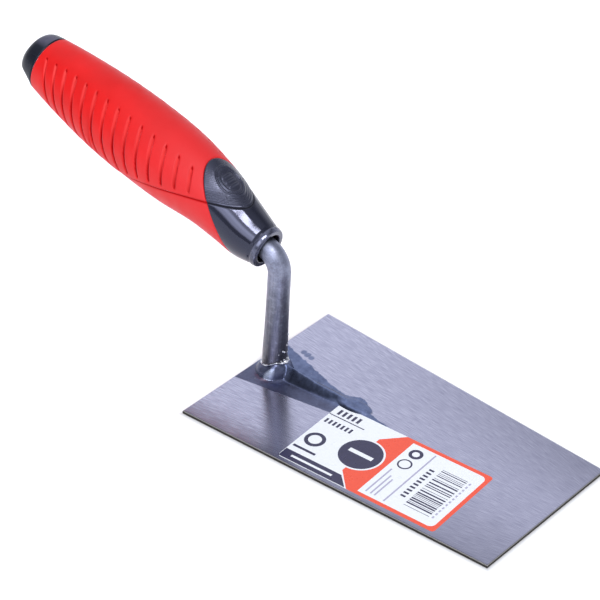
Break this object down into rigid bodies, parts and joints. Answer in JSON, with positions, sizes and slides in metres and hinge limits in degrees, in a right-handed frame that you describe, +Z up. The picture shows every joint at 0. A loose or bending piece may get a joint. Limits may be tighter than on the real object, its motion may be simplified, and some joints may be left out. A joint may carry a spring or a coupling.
{
  "type": "brick trowel",
  "caption": "Square-ended masonry trowel with a tapered flat steel blade, a forged rib, a cranked round shank and a two-material hand grip.",
  "frame": {"origin": "on the underside of the blade, on the centre line, below the axis of the shank's foot", "axes": "+X along the centre line to the toe, +Y to the left edge when the toe points away, +Z up out of the working face, towards the handle"},
  "size_m": [0.2657, 0.087, 0.108],
  "materials": {
    "blade": "ground and brushed, with a dark unground zone round the rib",
    "shank": "dark drawn bar, lightly streaked",
    "shank_weld": "bright weld bead",
    "handle_core": "gloss black moulding",
    "grip": "matt red soft moulding",
    "butt_cap": "satin black moulding",
    "label": "printed paper label with a gloss film"
  },
  "bodies": {
    "root": {"blade": "blade", "shank": "shank", "shank_weld": "shank_weld", "handle_core": "handle_core", "grip": "grip", "butt_cap": "butt_cap", "label": "label"}
  },
  "joints": []
}
